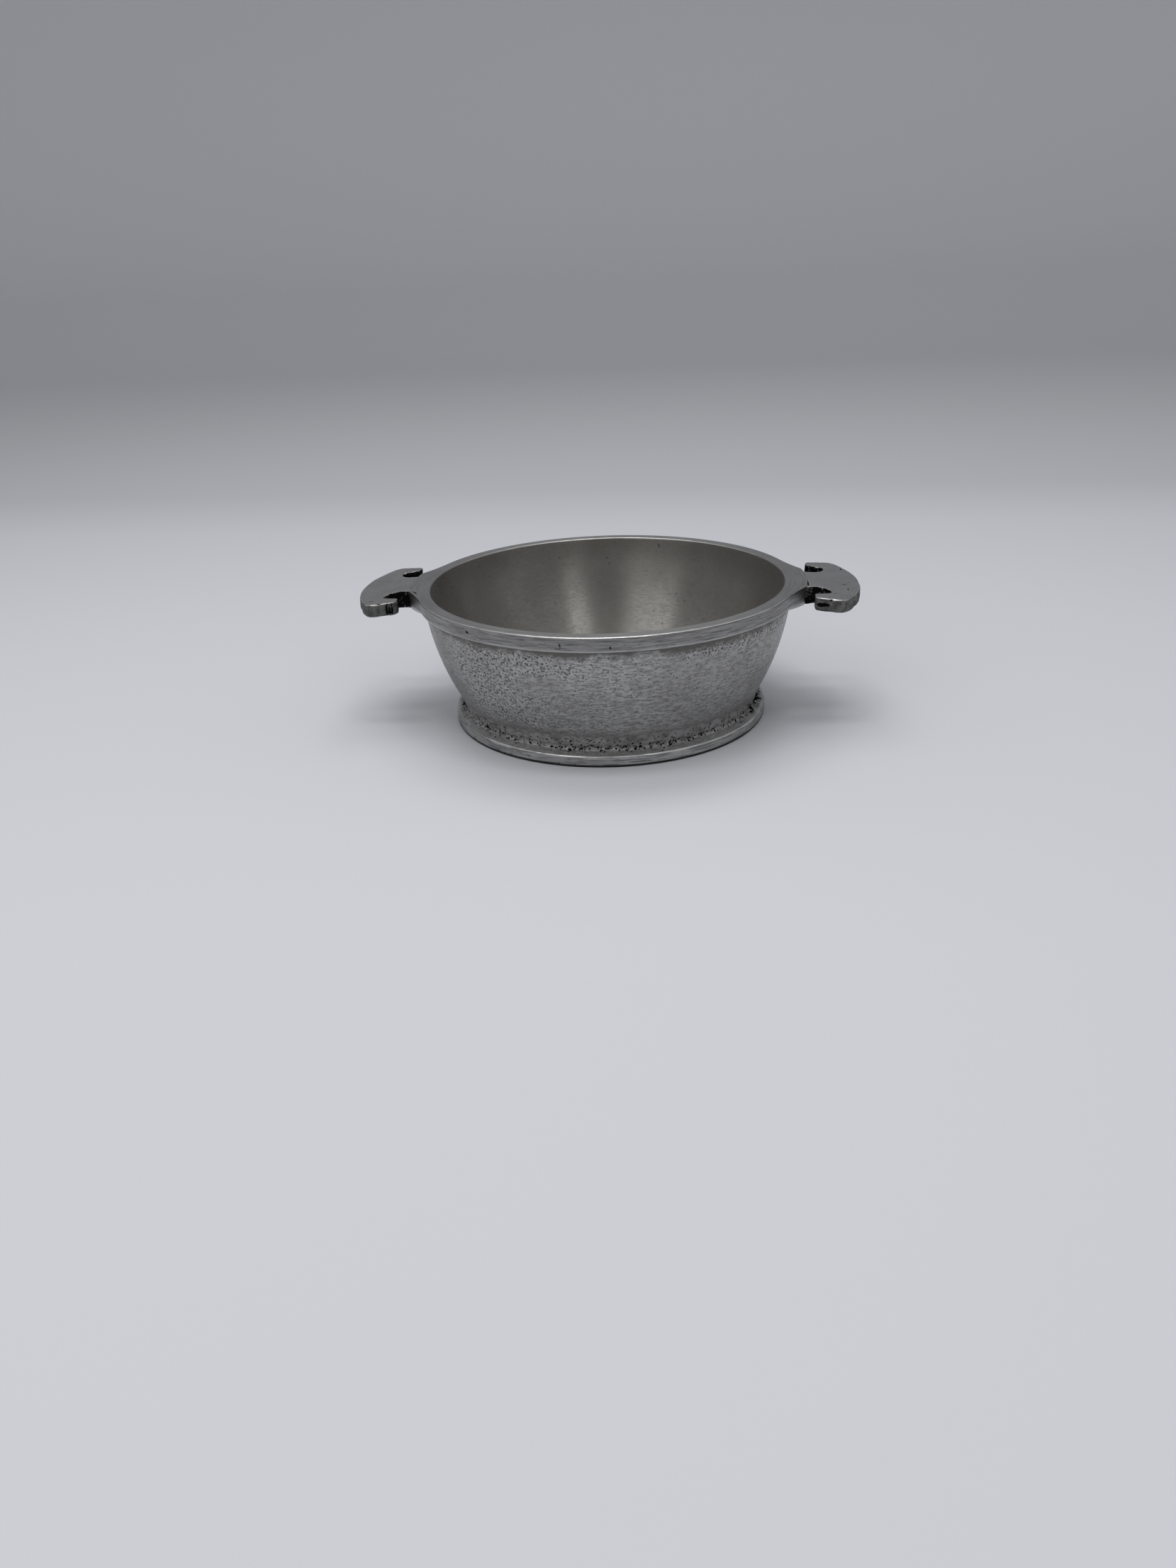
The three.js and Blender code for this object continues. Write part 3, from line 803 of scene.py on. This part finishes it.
def build_foot(materials):
    """The foot ring: a brushed upright edge, a rough sloping face and a thin collar on the wall."""
    buried, deepest = -0.15, 0.26
    bottom_fillet, top_fillet = 0.6, 0.8
    slope_step, cove_step, collar_rows, buried_rows = 0.24, 0.2, 15, 4
    top_height = FOOT_EDGE_HEIGHT + FOOT_TOP_RISE
    reach = FOOT_COLLAR + FOOT_COVE_RADIUS
    cove_angle = wall_angle(WALL_RADIUS + reach, top_height + FOOT_COVE_RADIUS)
    collar_angle = wall_angle(WALL_RADIUS, FOOT_COLLAR_TOP - 0.15)
    bottom_angle = wall_angle(WALL_RADIUS + buried, 0.0)
    cove = on_wall(reach, cove_angle)
    inner_bottom = tuple(on_wall(buried, bottom_angle))
    outer_bottom = (FOOT_RADIUS, 0.0)
    outer_top = (FOOT_RADIUS, FOOT_EDGE_HEIGHT)
    cove_start = (cove[0], top_height)
    bottom_round = rounded(inner_bottom, outer_bottom, outer_top, bottom_fillet)
    top_round = rounded(outer_bottom, outer_top, cove_start, top_fillet)
    cove_arc = arc(cove, FOOT_COVE_RADIUS, -pi / 2, cove_angle - pi, cove_step)
    collar = [
        on_wall(FOOT_COLLAR * (1 - 0.99 * smoothstep(0, 1, t)), cove_angle + (collar_angle - cove_angle) * t)
        for t in np.linspace(0, 1, collar_rows)
    ]
    profile = joined(
        line(inner_bottom, bottom_round[0], COARSE_STEP),
        bottom_round,
        line(bottom_round[-1], top_round[0], MEDIUM_STEP),
        top_round,
        line(top_round[-1], cove_start, slope_step),
        cove_arc,
        np.array(collar)[1:],
        [on_wall(buried, angle) for angle in np.linspace(collar_angle, bottom_angle, buried_rows)[:-1]],
    )
    angles = turn_angles(FINE_COLUMNS)
    normals = profile_normals(profile)
    field = Field(angles, profile)
    marked = (bottom_round[-1], top_round[-1], cove_arc[len(cove_arc) // 2], collar[-1])
    nearest = [np.argmin(norm(profile - point, axis=1)) for point in marked]
    edge_start, edge_end, corner, collar_end = field.lengths[nearest]
    stamp_foot_pits(field, edge_start, edge_end, corner, collar_end)

    radii, heights = profile.T
    along = field.lengths[:, None]
    spot = around(radii[:, None], angles, along)
    rough = layered_noise(spot / 1.1, 33, 3)
    grain = layered_noise(spot / 0.42, 37)
    uneven = unit(0.55 + 0.6 * layered_noise(spot / 5.0, 41))
    sanded = between(edge_end - 0.1, edge_end + 1.6, collar_end, collar_end + 1, along)
    crusted = smoothstep(3.4, 0.4, np.abs(along - corner - 0.3)) * uneven
    on_collar = smoothstep(corner - 2.4, corner + 0.3, along)
    # The collar, the cove and the ends under the handles are dulled and darkened: partly non-metal dirt,
    # partly painted shade
    by_handles = smoothstep(0.82, 0.97, np.abs(np.cos(angles)))
    dull = sanded * (0.2 + 0.8 * np.maximum(on_collar, by_handles))
    faded = sanded * smoothstep(collar_end, collar_end - 1.6, along)
    depth = field.depth - (0.1 * rough + 0.14 * crusted * grain) * faded
    # The foot's top edge lightened: partly wear, partly a painted highlight, strongest at the front
    worn = edge_wear_and_highlight(normals, angles, 71) * (heights > 2)[:, None] * (along < edge_end + 0.3)
    worn = worn * (0.4 + 0.6 * smoothstep(0.6, 0.97, -np.sin(angles)))
    # A painted shadow line along the bottom of the foot's edge, where it meets the floor
    painted_contact_shadow = between(0.0, 0.12, 0.55, 1.0, heights)[:, None]
    rays = layered_noise(around(FOOT_RADIUS, angles, along / 5) / 0.75, 43)
    rays = rays * smoothstep(edge_end, edge_end + 1.0, along) * (1 - on_collar)
    lows = unit(field.depth / deepest)
    for other in (0.4 * crusted * unit(-1.8 * grain - 0.4), painted_contact_shadow, 0.3 * unit(1.6 * rays)):
        lows = np.maximum(lows, other)
    grains = 0.34 * crusted * unit(2.6 * grain - 0.6)
    bright = np.maximum(worn, 0.8 * grains + 0.25 * unit(-1.6 * rays))
    mesh = Turning()
    edge, rough_skin = range(2)
    for row, point in enumerate(profile):
        ring = turned_ring(point, normals[row], angles, -depth[row])
        material = edge if field.lengths[row] <= edge_end else rough_skin
        mesh.ring(ring, material, lows=lows[row], worn=bright[row], dull=dull[row])
    mesh.close(rough_skin)
    return mesh.build("cast_foot", materials)


def stamp_foot_pits(field, edge_start, edge_end, corner, collar_end):
    """Casting pits, crowded along the foot's inner corner, and small nicks on its edge."""
    corner_pits, collar_pits, edge_nicks = 1500, 420, 160
    for _ in range(corner_pits):
        angle = random.uniform(-pi, pi)
        crowd = 0.5 + 0.5 * sin(3 * angle + 1.0) * sin(7 * angle)
        if random.uniform() > 0.35 + 0.65 * crowd:
            continue
        at = corner + random.normal(0.4, 1.1)
        wide = random.uniform(0.2, 0.54)
        tilt = random.uniform(-1, 1)
        field.stamp(angle, at, wide, wide * random.uniform(0.6, 1.0), tilt, random.uniform(0.14, 0.5))
    for _ in range(collar_pits):
        at = collar_end - random.uniform(1.2, 3.6)
        wide = random.uniform(0.2, 0.4)
        field.strew(at, wide, 0.8 * wide, 0.1, 0.4)
    # Pockets of large pits: middle and spread in degrees, how many, and how much larger they get
    for middle, spread, count, larger in ((-168, 4.5, 55, 1.0), (-4, 2.8, 50, 1.25), (-17, 2.2, 32, 1.0)):
        for _ in range(count):
            angle = radians(middle + random.normal(0, spread))
            at = corner + random.normal(0.3, 1.2)
            wide = 0.4 + larger * random.uniform() ** 2
            field.stamp(angle, at, wide, wide * 0.7, random.uniform(-1, 1), random.uniform(0.25, 0.6))
    for _ in range(edge_nicks):
        at = random.uniform(edge_start, edge_end - 0.2)
        field.strew(at, random.uniform(0.2, 0.9), 0.2, 0.02, 0.09)


# The handles

def handle_outline():
    """The handle's outline in plan, from inside its lug round to the same place on the other side."""
    inside_lug, cut_step, edge_step = 4.0, 0.4, 0.6
    notch_round, inner_round, outer_round = 1.0, 1.6, 2.2
    end = asin((NECK_WIDTH / 2 + NOTCH_WIDTH - SCALLOP[1]) / SCALLOP_RADIUS)
    cut = arc(SCALLOP, SCALLOP_RADIUS, scallop_start(), end, cut_step)
    notch_end = cut[-1]
    tip_x = RIM_RADIUS + PRONG_TIP_GAP
    tip_inner = (tip_x, notch_end[1] + PRONG_SPLAY)
    tip_outer = (tip_x, notch_end[1] + PRONG_SPLAY + PRONG_TIP_WIDTH)
    centre = (HANDLE_OUTER - HANDLE_ARC_RADIUS, 0.0)
    span = asin(HANDLE_SPAN / 2 / HANDLE_ARC_RADIUS)
    edge = arc(centre, HANDLE_ARC_RADIUS, span, 0.0, edge_step)
    shoulder = rounded(tip_outer, edge[0], edge[1], SHOULDER_ROUND, 10)
    half = joined(
        np.array([[cut[0][0] - inside_lug, cut[0][1]]]),
        cut[:-2],
        rounded(cut[-3], notch_end, tip_inner, notch_round),
        rounded(notch_end, tip_inner, tip_outer, inner_round),
        rounded(tip_inner, tip_outer, edge[0], outer_round),
        shoulder,
        edge[edge[:, 1] < shoulder[-1][1] - 0.2],
    )
    return np.vstack([half, half[-2::-1] * np.array([1.0, -1.0])])


def outward_share(x):
    """0 at the end of the lug and 1 at the handle's outermost point."""
    return np.maximum(0, (x - LUG_RADIUS) / (HANDLE_OUTER - LUG_RADIUS))


def handle_top(x):
    """Height of a handle's top face, which slopes down outwards."""
    return POT_HEIGHT - HANDLE_DROP - HANDLE_DROOP * outward_share(x)


def handle_blank(name):
    """A closed blank: the outline at the top and the waist, and drawn in at the underside."""
    draw_in = 0.35
    outline = handle_outline()
    x, y = outline.T
    sideways = np.maximum(0, (2 * np.abs(y) - NECK_WIDTH) / (HANDLE_SPAN - NECK_WIDTH))
    share = np.minimum(1, np.hypot(outward_share(x), sideways))
    thickness = HANDLE_ROOT_THICKNESS + (HANDLE_EDGE_THICKNESS - HANDLE_ROOT_THICKNESS) * share
    top = handle_top(x)
    underside = outline + draw_in * profile_normals(outline) * (x > LUG_RADIUS)[:, None]
    shape = bmesh.new()
    layers = []
    for plan, depth in ((outline, 0.0), (outline, 0.75), (underside, 0.98)):
        points = np.column_stack([plan, top - depth * thickness]) * MM
        layers.append([shape.verts.new(p) for p in points])
    shape.faces.new(layers[0])
    shape.faces.new(layers[-1][::-1])
    for upper, lower in zip(layers, layers[1:]):
        for i in range(len(upper)):
            j = (i + 1) % len(upper)
            shape.faces.new((upper[i], lower[i], lower[j], upper[j]))
    bmesh.ops.recalc_face_normals(shape, faces=shape.faces)
    blank = bpy.data.meshes.new(name)
    shape.to_mesh(blank)
    shape.free()
    return blank


def build_handle(name, angle, seed, material, marks):
    """A hooked crescent cast in sand: its edges soften, its sides are rough and its notches black."""
    blank = handle_blank(name + "_blank")
    carrier = shown(name + "_blank", blank)
    remesh = carrier.modifiers.new("remesh", "REMESH")
    remesh.mode = "VOXEL"
    remesh.voxel_size = HANDLE_VOXEL * MM
    soften = carrier.modifiers.new("soften", "SMOOTH")
    soften.factor = 0.5
    soften.iterations = 14
    graph = bpy.context.evaluated_depsgraph_get()
    mesh = bpy.data.meshes.new_from_object(carrier.evaluated_get(graph))
    bpy.data.objects.remove(carrier)
    bpy.data.meshes.remove(blank)
    mesh.name = name
    roughen_handle(mesh, seed, marks)
    mesh.materials.clear()
    mesh.materials.append(material)
    mesh.transform(Matrix.Rotation(angle, 4, "Z"))
    mesh.shade_smooth()
    return shown(name, mesh)


def vertex_vectors(mesh, key):
    """The places or the normals of a mesh's points, a row for each."""
    flat = np.empty(len(mesh.vertices) * 3, np.float32)
    mesh.vertices.foreach_get(key, flat)
    return flat.reshape(-1, 3).astype(float)


def roughen_handle(mesh, seed, marks):
    """Gives a handle its cast skin: waves, sandy sides, pits and dark notches."""
    points = vertex_vectors(mesh, "co") / MM
    normals = vertex_vectors(mesh, "normal")
    upwards = normals[:, 2]
    upright = 1 - smoothstep(0.35, 0.85, np.abs(upwards))
    beneath = smoothstep(0.3, 0.8, -upwards)
    # Sides and underside: rough cast skin, darkened in the material partly as painted shade
    sandy = np.maximum(upright, 0.7 * beneath)
    coarse = layered_noise(points / 2.6, seed, 3)
    fine = layered_noise(points / 0.9, seed + 9)
    waves = smooth_noise(points / 6.5, seed + 4)
    depth = -sandy * (0.13 * coarse + 0.05 * fine + 0.3 * waves) - 0.04 * waves
    plan = np.stack([points[:, 0], np.abs(points[:, 1])], 1)
    from_notch = norm(plan - SCALLOP, axis=1) - SCALLOP_RADIUS
    # Upright walls beside the notches darkened as painted shade in the recess, broken by lighter flecks
    notch_shade = smoothstep(1.8, 0.4, from_notch) * smoothstep(0.96, 0.75, np.abs(upwards))
    flecks = smoothstep(0.3, 0.65, smooth_noise(points / 0.65, seed + 15))
    lows = 0.75 * notch_shade * unit(0.9 + 0.5 * coarse) * (1 - 0.75 * flecks)

    def pit(centre, reach, deep, dark=1.0):
        nonlocal depth, lows
        away = norm((points - np.array(centre)) / np.array(reach), axis=1)
        mark = unit(2.2 * (1 - away * (1 + 0.25 * fine)))
        depth = depth + deep * mark
        lows = np.maximum(lows, dark * mark)

    chooser = np.random.default_rng(seed)
    sides = np.nonzero(sandy > 0.8)[0]
    tops = np.nonzero(upwards > 0.95)[0]
    for group, pits, small, large, deep in ((sides, 26, 0.2, 0.65, 0.3), (tops, 14, 0.18, 0.4, 0.1)):
        for vertex in chooser.choice(group, pits, replace=False):
            size = chooser.uniform(small, large)
            pit(points[vertex], (size, size, 0.7 * size), deep * chooser.uniform(0.4, 1.0))
    for x, y, below, *mark in marks:
        pit((x, y, handle_top(x) - below), *mark)
    seam = np.hypot(points[:, 0], points[:, 1]) - LUG_RADIUS
    hairline = bell(0.25, 0.3, seam) * unit(0.45 + 1.3 * coarse)
    lows = np.maximum(lows, 0.6 * hairline)
    depth = depth + 0.12 * hairline
    # Top edges lightened away from the notches: partly wear, partly a painted highlight
    edge = between(0.5, 0.7, 0.88, 0.975, upwards)
    worn = 0.6 * edge * smoothstep(0.9, 2.6, from_notch) * unit(0.8 + 0.6 * coarse)
    moved = points - normals * depth[:, None]
    moved[:, 0] = np.minimum(moved[:, 0], HANDLE_OUTER)
    mesh.vertices.foreach_set("co", (moved * MM).astype(np.float32).ravel())
    store_values(mesh, {"lows": unit(lows), "worn": unit(worn), "dull": unit(sandy)})
    mesh.update()


# Marks seen on each handle: place in plan, depth below its top face, reach, depth, and
# darkness where that is less than full
RIGHT_MARKS = (
    (90.0, -29.8, 2.8, (3.4, 2.6, 1.05), 0.55),
    (94.6, -30.6, 0.0, (2.0, 1.6, 1.1), 0.3, 0.0),
    (86.1, -6.0, 0.0, (0.5, 5.6, 0.8), 0.25),
    (102.6, 19.0, 0.0, (0.5, 1.6, 0.6), 0.15),
    (101.6, -6.0, 0.0, (1.5, 0.4, 0.6), 0.12),
    (102.4, -13.0, 0.0, (0.4, 1.4, 0.6), 0.12),
    (96.5, -20.5, 0.0, (1.6, 0.4, 0.6), 0.15),
)
LEFT_MARKS = (
    (88.9, 30.0, 3.4, (0.75, 2.6, 3.2), 0.35),
    (90.1, 30.0, 3.8, (0.55, 2.6, 3.0), 0.3),
    (91.2, 30.0, 3.2, (0.6, 2.6, 3.4), 0.35),
    (90.0, 30.0, 4.2, (1.7, 2.6, 0.7), 0.25),
    (95.4, 30.6, 0.0, (2.2, 1.6, 1.1), 0.22, 0.0),
    (94.6, 29.0, 0.2, (1.7, 0.5, 0.6), 0.25),
    (99.0, 24.0, 0.0, (1.6, 0.4, 0.6), 0.12),
)


# Stage, light and camera

def build_stage():
    """A floor that sweeps up into a backdrop, with painted shading: pale in front, darker behind and paler
    again at the top. Its sizes are in metres.
    """
    half_width, front, top = 3.0, -2.5, 3.0
    turn_start, turn_radius, turn_step = 1.5, 0.8, 0.1
    fade_start, fade_end = -0.2, 2.3
    bend = arc((turn_start, turn_radius), turn_radius, -pi / 2, 0.0, turn_step)
    profile = joined([(front, 0.0)], bend, [(turn_start + turn_radius, top)])
    points = np.array([(x, y, z) for y, z in profile for x in (-half_width, half_width)]) / MM
    faces = [[2 * i, 2 * i + 1, 2 * i + 3, 2 * i + 2] for i in range(len(profile) - 1)]
    paper = Surface("sweep_paper", metallic=0.0)
    paper.shade("Roughness", 0.85)
    paper.shade("Specular IOR Level", 0.2)
    backwards = paper.node("SeparateXYZ", ((0, paper.position),)).outputs["Y"]
    fade = paper.node("MapRange", enumerate((backwards, fade_start, fade_end)))
    ramp = paper.node("ValToRGB", (("Fac", fade.outputs["Result"]),))
    # Colour steps by distance back: painted shading of the floor and backdrop
    stops = (
        (0.0, (0.62, 0.63, 0.665)),
        (0.128, (0.60, 0.605, 0.64)),
        (0.224, (0.565, 0.57, 0.605)),
        (0.28, (0.49, 0.495, 0.525)),
        (0.44, (0.50, 0.505, 0.53)),
        (0.84, (0.535, 0.54, 0.57)),
        (1.0, (0.67, 0.675, 0.71)),
    )
    while len(ramp.color_ramp.elements) < len(stops):
        ramp.color_ramp.elements.new(0.5)
    for element, (at, colour) in zip(ramp.color_ramp.elements, stops):
        element.position = at
        element.color = (*colour, 1.0)
    paper.shade("Base Color", ramp.outputs["Color"])
    mesh_object("sweep", points, faces, [paper.material])


def softbox(name, azimuth, elevation, distance, width, height, power):
    """A soft lamp aimed at the pot. Azimuth is counted from the front, to the right."""
    lamp = bpy.data.lights.new(name, "AREA")
    lamp.shape = "RECTANGLE"
    lamp.size = width
    lamp.size_y = height
    lamp.energy = power
    turn, rise = radians(azimuth), radians(elevation)
    towards = Vector((sin(turn) * cos(rise), -cos(turn) * cos(rise), sin(rise)))
    holder = shown(name, lamp)
    holder.location = Vector((0, 0, POT_HEIGHT * MM / 2)) + towards * distance
    holder.rotation_euler = towards.to_track_quat("Z", "Y").to_euler()


def build_light():
    """A pale tent with a dim gap at the camera's side, and four soft lamps."""
    tent_level, gap_level, level_for_camera = 0.5, 0.22, 0.55
    gap_turn, gap_inner, gap_outer = (radians(a) for a in (9, 9, 21))
    towards_gap = (sin(gap_turn), -cos(gap_turn), 0)
    world = bpy.data.worlds.new("tent")
    world.use_nodes = True
    sky = Nodes(world.node_tree)
    direction = sky.node("TexCoord").outputs["Generated"]
    for operation, other in (("MULTIPLY", (1, 1, 0)), ("NORMALIZE", (0, 0, 0)), ("DOT_PRODUCT", towards_gap)):
        step = sky.node("VectorMath", enumerate((direction, other)), operation=operation)
        direction = step.outputs[0]
    bounds = (cos(gap_outer), cos(gap_inner))
    gap = sky.ramp(step.outputs["Value"], *bounds, tent_level, gap_level)
    # Camera rays see an even level in place of the gap
    camera_ray = sky.node("LightPath").outputs["Is Camera Ray"]
    level = sky.node("Mix", (("Factor", camera_ray), ("A", gap), ("B", level_for_camera)))
    background = sky.tree.nodes["Background"]
    sky.put((0.97, 0.98, 1.0, 1.0), background.inputs["Color"])
    sky.put(level.outputs["Result"], background.inputs["Strength"])
    bpy.context.scene.world = world
    # Name, azimuth, elevation, distance, width, height and power
    softbox("overhead_back_softbox", -168, 74, 1.2, 0.9, 0.5, 4.4)
    softbox("overhead_front_strip", 0, 80, 1.1, 0.6, 0.16, 2.4)
    softbox("front_left_softbox", -34, 38, 1.1, 0.66, 0.8, 1.7)
    softbox("front_right_softbox", 29, 38, 1.1, 0.26, 0.8, 0.78)


def build_camera():
    """The view from the front, a little to the right and half a metre away."""
    focal_pixels, frame_height, sensor = 1661.0, 2212.0, 36.0
    turn, pitch, roll = (radians(a) for a in (5.85, 25.02, -2.298))
    location = Vector((-11.7, -502.86, 195.51)) * MM
    aim = Matrix.Rotation(pi / 2 - pitch, 4, "X") @ Matrix.Rotation(roll, 4, "Z")
    camera = bpy.data.cameras.new("camera")
    camera.sensor_width = sensor
    camera.lens = focal_pixels * sensor / frame_height
    camera.clip_start = 0.01
    holder = shown("camera", camera)
    holder.matrix_world = Matrix.Rotation(turn, 4, "Z") @ Matrix.Translation(location) @ aim
    bpy.context.scene.camera = holder


wall_metal = hammered_metal()
rim_top_metal = turned_metal(
    "turned_rim_metal", (0.375, 0.373, 0.366), (0.31, 0.308, 0.301),
    roughness=0.42, anisotropy=0.3, turn_scale=4.0, line_scale=1800.0, contrast=0.4,
)
band_metal = turned_metal(
    "turned_band_metal", (0.33, 0.328, 0.321), (0.26, 0.257, 0.25),
    roughness=0.40, anisotropy=0.3, turn_scale=7.0, line_scale=2150.0, contrast=0.78, radial=0.0,
)
inside_metal = turned_metal(
    "turned_inside_metal", (0.285, 0.277, 0.258), (0.225, 0.218, 0.202),
    roughness=0.29, anisotropy=0.85, turn_scale=26.0, line_scale=1700.0, contrast=0.34, metallic=0.66,
)
under_metal = turned_metal(
    "turned_base_metal", (0.30, 0.298, 0.29), (0.22, 0.217, 0.208),
    roughness=0.42, anisotropy=0.5, turn_scale=5.0, line_scale=1500.0, contrast=0.6,
)
foot_edge_metal = turned_metal(
    "foot_edge_metal", (0.56, 0.557, 0.55), (0.38, 0.377, 0.37),
    roughness=0.42, anisotropy=0.3, turn_scale=6.0, line_scale=1400.0, contrast=0.9,
)
foot_skin = cast_metal("foot_cast_skin", (0.68, 0.677, 0.671), (0.52, 0.517, 0.511), 0.5)
handle_skin = cast_metal("handle_cast_skin", (0.385, 0.383, 0.377), (0.285, 0.283, 0.277), 0.44)

place(build_bowl([wall_metal, inside_metal, under_metal]), "bowl", "hammered_wall")
place(build_rim([rim_top_metal, band_metal, inside_metal]), "rim_band", "turned_rim")
place(build_foot([foot_edge_metal, foot_skin]), "foot_ring", "cast_foot")
for side, turn, seed, marks in (("right", 0.0, 51, RIGHT_MARKS), ("left", pi, 77, LEFT_MARKS)):
    handle = build_handle("hooked_handle_" + side, turn, seed, handle_skin, marks)
    place(handle, side + "_handle", "cast_handle")

build_stage()
build_light()
build_camera()
bpy.context.scene.view_settings.view_transform = "Standard"
